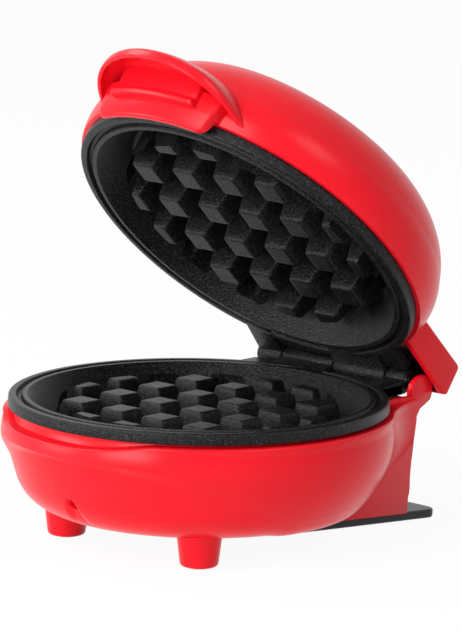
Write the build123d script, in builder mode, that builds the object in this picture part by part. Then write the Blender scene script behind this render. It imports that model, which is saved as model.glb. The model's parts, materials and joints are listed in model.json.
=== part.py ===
"""Small round waffle maker with its lid open: a bowl-shaped base on two feet and a rear stand,
a domed lid on a cast knuckle hinge, and two identical cast waffle plates face to face."""

import os
from math import atan, cos, degrees, hypot, radians, sin, sqrt, tan

from build123d import *

os.makedirs("parts", exist_ok=True)

# ---------------------------------------------------------------- driving dimensions, millimetres
bowl_setback = 9.4          # the bowl's axis stands this far in front of the origin
wall = 2.4                  # moulded housings
seam = 0.3                  # half the slit between two knuckles
seat_gap = 0.2              # loose seats between separate pieces

# cast waffle plates
plate_r = 60.0
rim_face = 3.6              # height of the rim's outer face
rim_land = 2.7              # outer ridge
groove_width = 1.9
groove_depth = 1.4
ridge_land = 1.6            # inner ridge
rim_round = 0.8
cavity_depth = 11.0
cavity_slope = 7.3          # run of the cavity's wall
plate_wall = 2.6
block_pitch = 17.3
block_base = 12.4
block_top = 9.0
block_recess = 2.0          # block tops lie this far inside the rim plane
block_rows = 6
block_field_inset = 0.9     # the blocks are cut off this far inside the cavity's floor
block_edge = 0.5
boss_r = 4.0
boss_ring_r = 21.0
boss_height = 6.8
boss_count = 3

# hinge
parting_z = 45.4            # rim plane of the lower plate
lid_gap = 0.8               # between the two rims when the lid is shut
hinge_reach = 5.2           # hinge line behind the plates' edge
lid_opening = 45.0          # degrees from shut, as it stands
knuckle_r = 3.5
knuckle_inner = 24.7        # seam between the inner and the outer knuckle
knuckle_outer = 31.5
arm_thickness = 3.0
web_gap = 0.4               # between the web of one plate and the knuckles of the other
pin_r = 1.5
pin_clearance = 0.05
washer_r = 3.0
washer_thickness = 0.6

# bowl-shaped lower housing
bowl_reveal = 1.6           # the bowl stands out from the plates' edge
bowl_floor_z = 9.7
bowl_floor_inset = 18.6     # edge of the flat floor, inside the bowl's top edge
bowl_turn_inset = 4.7       # where the floor's round meets the side
bowl_turn_z = 19.4
shoulder_drop = 4.5         # shoulder below the rim plane
shoulder_round = 1.6
collar_inset = 1.4          # collar under the plates' edge
collar_thickness = 3.0
brow_inset = 1.6            # proud band round the front
brow_shift = 2.8
brow_bottom_z = 22.0
brow_arch_z = 33.7          # top of the arch that cuts the band's lower edge
brow_arch_r = 175.0
brow_round = 0.8
bowl_floor_bulge = (2.0, -1.9)   # how far the floor's round stands out from its chord
bowl_side_bulge = 0.6
bowl_turn_lean = 32.0       # degrees, direction of the wall's thickness at the turn
front_dip = 2.7
front_dip_half = 30.0

# rear tower of the lower housing and its cheek beside the hinge, placed from the hinge line
tower_half = 36.0
tower_foot_setback = 4.8    # rear wall at the stand, in front of the hinge line
tower_head_setback = 2.1    # rear wall at the top
tower_depth = 38.4
tower_top_drop = 0.5        # below the bowl's shoulder
tower_toe = 6.0
blend_r = 22.0              # the bowl runs into the tower's sides with this radius at the top
blend_end_r = 1.0           # and with this one where the two part
blend_bottom_z = 24.0
cheek_behind = 0.3
cheek_drop = 3.1            # its centre under the hinge line
cheek_r = 5.7
cheek_thickness = 3.0
cheek_round_end = 2.8       # its round ends this far under its centre
cheek_heel_drop = 4.8
cheek_root_drop = 8.7
ledge_setback = 14.2
ledge_drop = 3.3            # below the rim plane

# feet and rear stand; y values from the bowl's axis
foot_x = 28.6
foot_y = 29.3
foot_bottom_r = 5.8
foot_top_r = 7.7
foot_round = 1.2
foot_pad_r = 4.2
foot_pad_thickness = 1.2
foot_pad_proud = 0.3
stand_half = 35.5
stand_behind = 11.3         # behind the hinge line
stand_length = 73.7
stand_thickness = 2.9
stand_tilt = 4.5
stand_corner_r = 5.0
stand_screw_setbacks = (31.2, 12.2)
stand_boss_height = 9.0

# cord groove at the front and cord inlet at the rear
groove_hole_r = 1.9
groove_hole_z = 20.4
groove_neck = 2.6
groove_mouth = 5.0
inlet_r = 4.2
inlet_z = 14.0
inlet_flange_r = 6.0
inlet_flange = 1.2
inlet_bore_r = 2.7

# lid, heights above the rim plane of the upper plate; section points are (out from the lip, height)
lip_reveal = 1.5            # the lip stands out from the plates' edge
belly_point = (0.9, 10.0)
side_top_point = (-1.1, 18.0)
shoulder_point = (-5.1, 25.4)
cap_edge_point = (-12.6, 32.0)
dome_height = 39.6
dome_side_lean = 18.0       # degrees, direction of the shell's thickness at the dome's turns
dome_shoulder_lean = 37.0
dome_edge_lean = 61.0

# rear box of the lid, which covers the cheek on the right
box_left = 36.4
box_side_wall = 2.25
box_setback = 21.2          # its front, in front of the hinge line
box_behind = 11.3
box_rear_bottom = 3.3
box_heel_step = 2.5
box_heel_bottom = 2.1
box_front_bottom = 3.5
box_top = 13.5
box_slant = 2.2
box_round = 1.5
box_rear_wall = 2.1
cheek_clearance = 0.35

# tab, grip and hood at the front of the lid; radii are given as steps out from the dome's lip
tab_half = 22.5
tab_bottom = -2.3
tab_bottom_step = 2.7
tab_face_step = 4.1
tab_top_step = 4.5
tab_face_z = 3.5
tab_corner_r = 3.0
tab_top = 10.0
grip_half = 16.6
grip_foot_step = 4.7        # wall behind the ridge, at its foot
grip_top_step = 7.3         # and at its top, under the hood
grip_top = 15.5
ridge_step = 6.5            # ridge for the fingertips along the wall's foot
ridge_height = 2.1
hood_half = 31.2
hood_reach = 27.0
hood_power = 2.25           # exponent of its rounded outline
hood_setback = 10.5         # middle of its outline, inside the lip
hood_wall = 2.4
hood_root_bottom = 5.8
hood_front_bottom = 10.3
hood_r = 47.2               # its top is part of a ball
hood_ball_setback = 9.9     # centre of the ball, inside the lip
hood_ball_drop = 26.0       # and under the rim plane
hood_points = 12            # along each half of the outline

# heating parts
heater_r = 3.2
heater_ring_r = 35.0
heater_gap_half = 16.0
heater_end_length = 12.0
reflector_r = 44.0
reflector_thickness = 0.6
reflector_rim = 4.0
screw_r = 1.5
screw_head_r = 3.0
screw_head = 1.8
screw_bite = 5.0
thermostat_r = 8.0
thermostat_height = 9.0
thermostat_neck_r = 6.4
tag = (0.8, 5.0, 6.0)       # thickness, width and length of a push-on tag
fuse_r = 2.0
fuse_length = 14.0
fuse_x = 13.0
block_terminal = (22.0, 11.0, 12.0)   # terminal block in the tower
terminal_setback = 21.2
terminal_pitch = 7.0

# indicator lamps in the lid's top
lamp_x = 7.0
lamp_y = 30.0
lens_r = 2.4
lens_proud = 0.7
lens_length = 4.6
lamp_r = 2.0
lamp_length = 9.0
holder_half = 11.0
holder_depth = 8.0
holder_height = 6.0

# derived from the above: heights, hinge and plates
upper_face_z = parting_z + lid_gap
hinge_y = plate_r + hinge_reach
hinge_z = parting_z + lid_gap / 2
plate_back = cavity_depth + plate_wall
groove_out_r = plate_r - rim_land
groove_in_r = groove_out_r - groove_width
cavity_r = groove_in_r - ridge_land
cavity_floor_r = cavity_r - cavity_slope
arm_root_y = sqrt(groove_out_r**2 - knuckle_outer**2)
block_height = cavity_depth - block_recess
block_taper = degrees(atan((block_base - block_top) / 2 / block_height))
block_field_r = cavity_floor_r - block_field_inset

# bowl
shoulder_z = parting_z - shoulder_drop
bowl_top_r = plate_r + bowl_reveal
bowl_floor_r = bowl_top_r - bowl_floor_inset
bowl_turn = (bowl_top_r - bowl_turn_inset, bowl_turn_z)
collar_r = plate_r - collar_inset
collar_inner_r = collar_r - collar_thickness
brow_r = bowl_top_r - brow_inset

# tower, cheek and stand
tower_rear_y = hinge_y - tower_foot_setback
tower_rear_top_y = hinge_y - tower_head_setback
tower_front_y = tower_rear_y - tower_depth
tower_top_z = shoulder_z - tower_top_drop
cheek_y = hinge_y + cheek_behind
cheek_z = hinge_z - cheek_drop
cheek_inner = tower_half - cheek_thickness
cheek_heel = (cheek_y, cheek_z - cheek_heel_drop)
cheek_root = (tower_rear_top_y, cheek_z - cheek_root_drop)
ledge_y = hinge_y - ledge_setback
ledge_z = parting_z - ledge_drop
stand_rear_y = hinge_y + stand_behind
terminal_y = hinge_y - terminal_setback


def out_from(r, point):
    """Section point given as (step out, height) beyond radius r."""
    return (r + point[0], point[1])


# lid
dome_lip_r = plate_r + lip_reveal
dome_belly = out_from(dome_lip_r, belly_point)
dome_side_top = out_from(dome_lip_r, side_top_point)
dome_shoulder = out_from(dome_lip_r, shoulder_point)
dome_cap_edge = out_from(dome_lip_r, cap_edge_point)
hood_y = dome_lip_r - hood_setback
hood_front_y = hood_y + hood_reach
box_right = tower_half + cheek_clearance + box_side_wall
box_front_y = hinge_y - box_setback
box_rear_y = hinge_y + box_behind
box_heel_y = box_rear_y - box_heel_step


# ---------------------------------------------------------------- frames
base = Plane(origin=(0, -bowl_setback, 0))
hinge_line = Location((0, hinge_y - bowl_setback, hinge_z), (-lid_opening, 0, 0))
lid = Plane(hinge_line * Location((0, -hinge_y, upper_face_z - hinge_z)))
lower_face = base.offset(parting_z)
upper_face = Plane(origin=lid.origin, x_dir=-lid.x_dir, z_dir=-lid.z_dir)
stand = Plane(
    origin=(0, stand_rear_y - bowl_setback, 0),
    x_dir=(1, 0, 0),
    z_dir=(0, sin(radians(stand_tilt)), cos(radians(stand_tilt))),
)


def across(frame, y=0.0):
    """Plane across a frame, seen from the front: its x is the frame's x and its y is height."""
    origin = frame.from_local_coords(Vector(0, y, 0))
    return Plane(origin=origin, x_dir=frame.x_dir, z_dir=-frame.y_dir)


def beside(frame, x=0.0):
    """Plane along a frame at x: its x runs to the rear and its y is height."""
    origin = frame.from_local_coords(Vector(x, 0, 0))
    return Plane(origin=origin, x_dir=frame.y_dir, z_dir=frame.x_dir)


def centre_line(frame):
    return Axis(frame.origin, frame.z_dir)


def save(piece, name):
    piece.part.label = name
    export_step(piece.part, f"parts/{name}.step")


def stand_top_z(y):
    """Height of the stand's upper face at y behind the bowl's axis."""
    return (stand_rear_y - y) * tan(radians(stand_tilt)) + stand_thickness / cos(radians(stand_tilt))


def inward(point, inset, lean):
    """A point of a section moved towards the axis by inset, leaning down by lean degrees."""
    return (point[0] - inset * cos(radians(lean)), point[1] - inset * sin(radians(lean)))


# outer face of the tower's rear wall, at the cord inlet
back_foot_z = stand_top_z(tower_rear_y)
back_tilt = atan((tower_rear_top_y - tower_rear_y) / (cheek_root[1] - back_foot_z))
tower_back = Plane(
    origin=(0, tower_rear_y - bowl_setback + (inlet_z - back_foot_z) * tan(back_tilt), inlet_z),
    x_dir=(1, 0, 0),
    z_dir=(0, cos(back_tilt), -sin(back_tilt)),
)


# ---------------------------------------------------------------- cast waffle plates
def block_centres():
    """Centres of the waffle blocks that reach into the round field."""
    steps = [(row - (block_rows - 1) / 2) * block_pitch for row in range(block_rows)]
    inner = block_field_r + (sqrt(2) - 1) * block_base / 2
    return [(x, y) for x in steps for y in steps if hypot(x, y) < inner]


def boss_spots():
    """Centres of the screw bosses on the back of a plate."""
    turns = [radians(90 + 360 * i / boss_count) for i in range(boss_count)]
    return [(boss_ring_r * cos(turn), boss_ring_r * sin(turn)) for turn in turns]


def block_field(face):
    """Waffle blocks: tapered squares on a grid, cut off at a circle that leans in as they do."""
    with BuildPart() as blocks:
        with BuildSketch(face.offset(-cavity_depth)):
            with Locations(*block_centres()):
                Rectangle(block_base, block_base)
        extrude(amount=block_height, taper=block_taper)
        chamfer(blocks.faces().group_by(centre_line(face))[-1].edges(), length=block_edge)
        with BuildSketch(face.offset(-cavity_depth)):
            Circle(block_field_r)
        extrude(amount=block_height, taper=block_taper, mode=Mode.INTERSECT)
    return blocks.part


def cast_plate(face):
    """One plate on its rim plane, with the cooking side along the plane's z and the hinge to the rear."""
    field = block_field(face)
    with BuildPart() as plate:
        with BuildSketch(across(face)):
            with BuildLine():
                Polyline(
                    (0, -cavity_depth),
                    (cavity_floor_r, -cavity_depth),
                    (cavity_r, 0),
                    (groove_in_r, 0),
                    (groove_in_r + seam, -groove_depth),
                    (groove_out_r - seam, -groove_depth),
                    (groove_out_r, 0),
                    (plate_r - rim_round, 0),
                )
                RadiusArc((plate_r - rim_round, 0), (plate_r, -rim_round), rim_round)
                Polyline(
                    (plate_r, -rim_round),
                    (plate_r, -rim_face),
                    (groove_in_r - seam, -rim_face),
                    (cavity_floor_r, -plate_back),
                    (0, -plate_back),
                    (0, -cavity_depth),
                )
            make_face()
        revolve(axis=centre_line(face))
        add(field)
        # bosses for the reflector's screws
        with BuildSketch(face.offset(-plate_back)):
            with Locations(*boss_spots()):
                Circle(boss_r)
        extrude(amount=-boss_height)
        with BuildSketch(face.offset(-plate_back - boss_height)):
            with Locations(*boss_spots()):
                Circle(screw_r + pin_clearance)
        extrude(amount=screw_bite + seat_gap, mode=Mode.SUBTRACT)
        # web behind the rim, then the hinge arms and knuckles
        web_rear_y = hinge_y - knuckle_r - web_gap
        with BuildSketch(face.offset(-rim_face)):
            with Locations((0, (arm_root_y + web_rear_y) / 2)):
                Rectangle(2 * knuckle_outer, web_rear_y - arm_root_y)
            Circle(groove_out_r + rim_land / 2, mode=Mode.SUBTRACT)
        extrude(amount=arm_thickness)
        for start, end in ((-knuckle_inner + seam, -seam), (knuckle_inner + seam, knuckle_outer)):
            middle = (start + end) / 2
            with BuildSketch(face.offset(-rim_face)):
                with Locations((middle, (arm_root_y + hinge_y) / 2)):
                    Rectangle(end - start, hinge_y - arm_root_y)
                Circle(groove_out_r + rim_land / 2, mode=Mode.SUBTRACT)
            extrude(amount=arm_thickness)
            with BuildSketch(beside(face, start)):
                with Locations((hinge_y, lid_gap / 2)):
                    Circle(knuckle_r)
            extrude(amount=end - start)
        with BuildSketch(beside(face, -knuckle_outer)):
            with Locations((hinge_y, lid_gap / 2)):
                Circle(pin_r + pin_clearance)
        extrude(amount=2 * knuckle_outer, mode=Mode.SUBTRACT)
    return plate


lower_plate = cast_plate(lower_face)
save(lower_plate, "lower_plate")
upper_plate = cast_plate(upper_face)
save(upper_plate, "upper_plate")


# ---------------------------------------------------------------- lower housing
def bowl_section(inset, top_z):
    """Half section of the bowl, drawn in by inset."""
    floor = (bowl_floor_r - inset, bowl_floor_z + inset)
    turn = inward(bowl_turn, inset, -bowl_turn_lean)
    rim = (bowl_top_r - inset, top_z)
    out, down = bowl_floor_bulge
    round_mid = ((floor[0] + turn[0]) / 2 + out, (floor[1] + turn[1]) / 2 + down)
    side_mid = ((turn[0] + rim[0]) / 2 + bowl_side_bulge, (turn[1] + rim[1]) / 2)
    with BuildLine() as line:
        Line((0, bowl_floor_z + inset), floor)
        ThreePointArc(floor, round_mid, turn)
        ThreePointArc(turn, side_mid, rim)
        Polyline(rim, (0, top_z), (0, bowl_floor_z + inset))
    return line


def tower_section(inset):
    """Side outline of the tower, drawn in by inset; the inset outline runs out at the open bottom."""
    drop = 3 * inset
    front_y = tower_front_y + inset
    rear_y = tower_rear_y - inset
    top_rear_y = tower_rear_top_y - inset
    toe_y = front_y + tower_toe
    foot_front = (toe_y, stand_top_z(toe_y) - drop)
    foot_rear = (rear_y, stand_top_z(rear_y) - drop)
    with BuildLine() as line:
        Polyline(
            (front_y, bowl_floor_z + wall / 2),
            foot_front,
            foot_rear,
            (top_rear_y, cheek_root[1]),
            (top_rear_y, tower_top_z - inset),
            (front_y, tower_top_z - inset),
            close=True,
        )
    return line


def blend_plan(z, bowl_r, radius):
    """Plan of the fillet between the bowl, bowl_r at this height, and the tower's right side."""
    centre = (tower_half + radius, sqrt((bowl_r + radius) ** 2 - (tower_half + radius) ** 2))
    reach = bowl_r / (bowl_r + radius)
    start = (centre[0] * reach, centre[1] * reach)
    end = (tower_half, centre[1])
    corner = (tower_half, sqrt(bowl_r**2 - tower_half**2))
    away = (centre[0] - corner[0], centre[1] - corner[1])
    middle = tuple(c - radius * a / hypot(*away) for c, a in zip(centre, away))
    root = (bowl_r - wall / 2) / bowl_r
    with BuildSketch(base.offset(z)) as plan:
        with BuildLine():
            ThreePointArc(start, middle, end)
            Polyline(
                end,
                (tower_half - wall / 2, end[1]),
                (tower_half - wall / 2, corner[1] * root),
                (start[0] * root, start[1] * root),
                start,
            )
        make_face()
    return plan.sketch


cheek_front = (cheek_y - sqrt(cheek_r**2 - (ledge_z - cheek_z) ** 2), ledge_z)
cheek_back = (cheek_y + sqrt(cheek_r**2 - cheek_round_end**2), cheek_z - cheek_round_end)
stand_screw_x = tower_half - wall - screw_head_r
stand_screw_spots = [
    (x, -(stand_behind + setback) / cos(radians(stand_tilt)))
    for x in (-stand_screw_x, stand_screw_x)
    for setback in stand_screw_setbacks
]

# proud band round the front, its lower edge an arch
with BuildPart() as brow_form:
    with BuildSketch(base.offset(brow_bottom_z)):
        with Locations((0, -brow_shift)):
            Circle(brow_r)
    extrude(amount=shoulder_z - brow_bottom_z)
    fillet(brow_form.edges().group_by(Axis.Z)[-1], radius=shoulder_round)
    with BuildSketch(across(base, bowl_top_r)):
        with Locations((0, brow_arch_z - brow_arch_r)):
            Circle(brow_arch_r)
    extrude(amount=3 * bowl_top_r, mode=Mode.SUBTRACT)
    arch = brow_form.faces().sort_by(Axis.Z)[0]
    fillet(arch.edges().sort_by(Axis.Z), radius=brow_round)

# the bowl's wall where it runs into the tower's sides
blend_foot_r = bowl_turn[0] + (bowl_top_r - bowl_turn[0]) * (blend_bottom_z - bowl_turn_z) / (
    shoulder_z - bowl_turn_z)
with BuildPart() as blend_form:
    add(blend_plan(blend_bottom_z, blend_foot_r, blend_end_r))
    add(blend_plan(tower_top_z, bowl_top_r, blend_r))
    loft()
    mirror(about=Plane.YZ)

with BuildPart() as lower_housing:
    with BuildSketch(across(base)):
        add(bowl_section(0, shoulder_z).line)
        make_face()
    revolve(axis=centre_line(base))
    fillet(lower_housing.edges().group_by(Axis.Z)[-1], radius=shoulder_round)
    # collar that carries the plate's rim
    with BuildSketch(base.offset(shoulder_z - wall)):
        Circle(collar_r)
    extrude(amount=parting_z - rim_face - shoulder_z + wall)
    add(brow_form.part)
    # tower behind the bowl, and the cheek that covers the hinge's right end
    with BuildSketch(beside(base, -tower_half)):
        add(tower_section(0).line)
        make_face()
    extrude(amount=2 * tower_half)
    add(blend_form.part)
    with BuildSketch(beside(base, cheek_inner)):
        with BuildLine():
            Polyline((ledge_y, blend_bottom_z), (ledge_y, ledge_z), cheek_front)
            ThreePointArc(cheek_front, (cheek_y, cheek_z + cheek_r), cheek_back)
            Polyline(
                cheek_back,
                cheek_heel,
                cheek_root,
                (cheek_root[0] - wall, blend_bottom_z),
                (ledge_y, blend_bottom_z),
            )
        make_face()
    extrude(amount=cheek_thickness)
    # hollow inside
    with BuildSketch(across(base)):
        add(bowl_section(wall, shoulder_z - wall).line)
        make_face()
    revolve(axis=centre_line(base), mode=Mode.SUBTRACT)
    with BuildSketch(beside(base, -tower_half + wall)):
        add(tower_section(wall).line)
        make_face()
    extrude(amount=2 * (tower_half - wall), mode=Mode.SUBTRACT)
    with BuildSketch(base.offset(shoulder_z - 2 * wall)):
        Circle(collar_inner_r)
    extrude(amount=parting_z - shoulder_z + 2 * wall, mode=Mode.SUBTRACT)
    # shoulder dips at the front under the lid's tab
    dip_r = (front_dip_half**2 + front_dip**2) / 2 / front_dip
    with BuildSketch(across(base, -collar_r / 2)):
        with Locations((0, shoulder_z - front_dip + dip_r)):
            Circle(dip_r)
        with Locations((0, shoulder_z)):
            Rectangle(2 * front_dip_half, 2 * front_dip, mode=Mode.INTERSECT)
    extrude(amount=collar_r, mode=Mode.SUBTRACT)
    with BuildSketch(base.offset(shoulder_z - 2 * front_dip)):
        Circle(collar_r)
        Circle(collar_inner_r, mode=Mode.SUBTRACT)
    extrude(amount=parting_z - rim_face - shoulder_z + 2 * front_dip)
    # two tapered feet
    with BuildSketch(base.offset(bowl_floor_z + wall)):
        with Locations((-foot_x, -foot_y), (foot_x, -foot_y)):
            Circle(foot_top_r)
    foot_height = bowl_floor_z + wall - foot_pad_proud
    extrude(amount=-foot_height, taper=degrees(atan((foot_top_r - foot_bottom_r) / foot_height)))
    fillet(lower_housing.edges().group_by(Axis.Z)[0], radius=foot_round)
    with BuildSketch(base):
        with Locations((-foot_x, -foot_y), (foot_x, -foot_y)):
            Circle(foot_pad_r)
    extrude(amount=foot_pad_thickness, mode=Mode.SUBTRACT)
    # keyhole groove that holds the cord
    with BuildSketch(across(base, -bowl_floor_r)):
        with Locations((0, groove_hole_z)):
            Circle(groove_hole_r)
        with BuildLine():
            Polyline(
                (-groove_neck / 2, groove_hole_z),
                (groove_neck / 2, groove_hole_z),
                (groove_mouth / 2, 0),
                (-groove_mouth / 2, 0),
                close=True,
            )
        make_face()
    extrude(amount=brow_r + brow_shift + wall - bowl_floor_r, mode=Mode.SUBTRACT)
    # cord inlet in the tower's rear wall
    with BuildSketch(tower_back.offset(-2 * wall)):
        Circle(inlet_r)
    extrude(amount=4 * wall, mode=Mode.SUBTRACT)
    # pillars for the plate's screws, with recesses for their heads in the floor
    with BuildSketch(base.offset(bowl_floor_z)):
        with Locations(*boss_spots()):
            Circle(boss_r)
    extrude(amount=parting_z - plate_back - boss_height - reflector_thickness - bowl_floor_z)
    with BuildSketch(base.offset(bowl_floor_z)):
        with Locations(*boss_spots()):
            Circle(screw_head_r + seat_gap)
    extrude(amount=screw_head + seat_gap, mode=Mode.SUBTRACT)
    with BuildSketch(base.offset(bowl_floor_z)):
        with Locations(*boss_spots()):
            Circle(screw_r + pin_clearance)
    extrude(amount=parting_z, mode=Mode.SUBTRACT)
    # bosses along the tower's sides for the stand's screws
    with BuildSketch(stand.offset(stand_thickness)):
        with Locations(*stand_screw_spots):
            Circle(boss_r)
    extrude(amount=stand_boss_height)
    with BuildSketch(stand.offset(stand_thickness)):
        with Locations(*stand_screw_spots):
            Circle(screw_r + pin_clearance)
    extrude(amount=screw_bite + seat_gap, mode=Mode.SUBTRACT)

save(lower_housing, "lower_housing")

# ---------------------------------------------------------------- lid housing
cap_rise = dome_height - dome_cap_edge[1]
cap_sphere_r = (dome_cap_edge[0] ** 2 + cap_rise**2) / 2 / cap_rise


def cap_height(r):
    """Height of the dome's cap at radius r."""
    return dome_height - cap_sphere_r + sqrt(cap_sphere_r**2 - r**2)


def dome_section(inset):
    """Half section of the domed lid, drawn in by inset."""
    lip = (dome_lip_r - inset, rim_face)
    belly = (dome_belly[0] - inset, dome_belly[1])
    side_top = inward(dome_side_top, inset, dome_side_lean)
    shoulder = inward(dome_shoulder, inset, dome_shoulder_lean)
    cap_edge = inward(dome_cap_edge, inset, dome_edge_lean)
    with BuildLine() as line:
        ThreePointArc(lip, belly, side_top)
        ThreePointArc(side_top, shoulder, cap_edge)
        cap_middle = (cap_edge[0] / 2, cap_height(cap_edge[0] / 2) - inset)
        ThreePointArc(cap_edge, cap_middle, (0, dome_height - inset))
        Polyline((0, dome_height - inset), (0, rim_face), lip)
    return line


def front_window(half, bottom, top, corner):
    """Rounded window seen from the front, pulled forward over everything at the lid's front."""
    with BuildSketch(across(lid, -box_front_y)) as window:
        with Locations((0, (bottom + top) / 2)):
            RectangleRounded(2 * half, top - bottom, corner)
    return extrude(window.sketch, amount=plate_r, mode=Mode.PRIVATE)


def hood_ball(inset):
    """Ball whose surface is the hood's top, drawn in by inset."""
    with BuildPart() as ball:
        with Locations(lid.offset(-hood_ball_drop)):
            with Locations((0, hood_ball_setback - dome_lip_r)):
                Sphere(hood_r - inset)
    return ball.part


# the tab and the grip both end just under the hood
under_hood = hood_ball(hood_wall + seat_gap)
with BuildPart() as tab_form:
    with BuildSketch(across(lid)):
        with BuildLine():
            Polyline(
                (dome_lip_r, tab_bottom),
                (dome_lip_r + tab_bottom_step, tab_bottom),
                (dome_lip_r + tab_face_step, tab_face_z),
                (dome_lip_r + tab_top_step, tab_top),
                (dome_lip_r - wall, tab_top + wall),
                (dome_lip_r - wall, rim_face),
                (dome_lip_r, rim_face),
                close=True,
            )
        make_face()
    revolve(axis=centre_line(lid))
    window_top = tab_top + wall + tab_corner_r
    add(front_window(tab_half, tab_bottom, window_top, tab_corner_r), mode=Mode.INTERSECT)
    add(under_hood, mode=Mode.INTERSECT)

# wall that the fingertips pull on, with a ridge along its foot
with BuildPart() as grip_form:
    with BuildSketch(across(lid)):
        with BuildLine():
            Polyline(
                (dome_lip_r - wall, tab_face_z),
                (dome_lip_r + ridge_step, tab_face_z),
                (dome_lip_r + ridge_step, tab_face_z + ridge_height),
                (dome_lip_r + grip_foot_step, tab_face_z + ridge_height),
                (dome_lip_r + grip_top_step, grip_top),
                (dome_lip_r - wall, grip_top),
                close=True,
            )
        make_face()
    revolve(axis=centre_line(lid))
    window_top = grip_top + ridge_height
    add(front_window(grip_half, tab_face_z, window_top, ridge_height / 2), mode=Mode.INTERSECT)
    add(under_hood, mode=Mode.INTERSECT)

# hollow of the rear box, which clears the cheek and stays behind the dome
with BuildPart() as box_hollow:
    with BuildSketch(beside(lid, -box_left + box_side_wall)):
        with BuildLine():
            Polyline(
                (box_front_y - wall, 0),
                (box_rear_y - box_rear_wall, 0),
                (box_rear_y - box_rear_wall - box_slant, box_top - wall),
                (box_front_y - wall, box_top - wall),
                close=True,
            )
        make_face()
    extrude(amount=box_left + box_right - 2 * box_side_wall)
    with BuildSketch(lid):
        Circle(dome_lip_r)
    extrude(amount=box_top, mode=Mode.SUBTRACT)

with BuildPart() as box_form:
    with BuildSketch(beside(lid, -box_left)):
        with BuildLine():
            Polyline(
                (box_front_y, box_front_bottom),
                (box_heel_y, box_heel_bottom),
                (box_rear_y, box_rear_bottom),
                (box_rear_y - box_slant, box_top),
                (box_front_y, box_top),
                close=True,
            )
        make_face()
    extrude(amount=box_left + box_right)
    top = box_form.faces().sort_by(centre_line(lid))[-1]
    rear = box_form.faces().sort_by(Axis(lid.origin, lid.y_dir))[-1]
    fillet(top.edges() + rear.edges().filter_by(Axis.X, reverse=True), radius=box_round)

with BuildPart() as lid_housing:
    with BuildSketch(across(lid)):
        add(dome_section(0).line)
        make_face()
    revolve(axis=centre_line(lid))
    add(box_form.part)
    add(tab_form.part)
    add(grip_form.part)
    # hollow dome, then the hollow of the box behind it
    with BuildSketch(across(lid)):
        add(dome_section(wall).line)
        make_face()
    revolve(axis=centre_line(lid), mode=Mode.SUBTRACT)
    add(box_hollow.part, mode=Mode.SUBTRACT)
    with BuildSketch(lid.offset(tab_bottom)):
        Circle(dome_lip_r)
    extrude(amount=rim_face - tab_bottom, mode=Mode.SUBTRACT)
    # wells for the two lamp lenses
    with BuildSketch(lid.offset(dome_cap_edge[1])):
        with Locations((-lamp_x, -lamp_y), (lamp_x, -lamp_y)):
            Circle(lens_r + pin_clearance)
    extrude(amount=dome_height, mode=Mode.SUBTRACT)

save(lid_housing, "lid_housing")


# hood over the grip: its outline is a rounded U, its top runs up to the dome
def hood_outline(inset):
    """Closed plan of the hood, drawn in by inset."""
    half = hood_half - inset
    reach = hood_reach - inset
    turns = [radians(90 * i / hood_points) for i in range(2 * hood_points + 1)]
    bow = [
        (
            half * abs(cos(turn)) ** (2 / hood_power) * (1 if cos(turn) > 0 else -1),
            -hood_y - reach * sin(turn) ** (2 / hood_power),
        )
        for turn in turns
    ]
    with BuildLine() as line:
        Polyline(bow[-1], (-half, -box_front_y), (half, -box_front_y), bow[0])
        Spline(*bow, tangents=[(0, -1), (0, 1)])
    return line


with BuildPart() as hood_pocket:
    with BuildSketch(lid):
        add(hood_outline(hood_wall).line)
        make_face()
    extrude(amount=dome_height)
    add(hood_ball(hood_wall), mode=Mode.INTERSECT)

with BuildPart() as lid_handle:
    with BuildSketch(lid):
        add(hood_outline(0).line)
        make_face()
    extrude(amount=dome_height)
    with BuildSketch(beside(lid, -hood_half)):
        with BuildLine():
            Polyline(
                (-box_front_y, hood_root_bottom),
                (-hood_y, hood_root_bottom),
                (-hood_front_y, hood_front_bottom),
                (-hood_front_y, dome_height),
                (-box_front_y, dome_height),
                close=True,
            )
        make_face()
    extrude(amount=2 * hood_half, mode=Mode.INTERSECT)
    add(hood_ball(0), mode=Mode.INTERSECT)
    add(hood_pocket.part, mode=Mode.SUBTRACT)
    with BuildSketch(across(lid)):
        add(dome_section(0).line)
        make_face()
    revolve(axis=centre_line(lid), mode=Mode.SUBTRACT)

save(lid_handle, "lid_handle")


# ---------------------------------------------------------------- hinge pin, clip and washer
pin_end = knuckle_outer + washer_thickness
with BuildPart() as hinge_pin:
    with BuildSketch(beside(base, -pin_end - washer_thickness)):
        with Locations((hinge_y, hinge_z)):
            Circle(pin_r)
    extrude(amount=2 * pin_end + washer_thickness)
    with BuildSketch(beside(base, pin_end)):
        with Locations((hinge_y, hinge_z)):
            Circle(washer_r - washer_thickness)
    extrude(amount=washer_thickness)
    with BuildSketch(beside(base, -pin_end)):
        with Locations((hinge_y, hinge_z)):
            Circle(pin_r)
            Circle(pin_r - washer_thickness / 2, mode=Mode.SUBTRACT)
    extrude(amount=washer_thickness, mode=Mode.SUBTRACT)
save(hinge_pin, "hinge_pin")

with BuildPart() as hinge_washer:
    with BuildSketch(beside(base, knuckle_outer)):
        with Locations((hinge_y, hinge_z)):
            Circle(washer_r)
            Circle(pin_r + pin_clearance, mode=Mode.SUBTRACT)
    extrude(amount=washer_thickness)
save(hinge_washer, "hinge_washer")

# spring clip in the pin's groove, open at the bottom
with BuildPart() as hinge_clip:
    with BuildSketch(beside(base, -pin_end)):
        with Locations((hinge_y, hinge_z)):
            Circle(washer_r)
            Circle(pin_r - washer_thickness / 2 + pin_clearance, mode=Mode.SUBTRACT)
        with Locations((hinge_y, hinge_z - washer_r)):
            Rectangle(1.6 * pin_r, 2 * washer_r, mode=Mode.SUBTRACT)
    extrude(amount=washer_thickness - pin_clearance)
save(hinge_clip, "hinge_clip")

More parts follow.
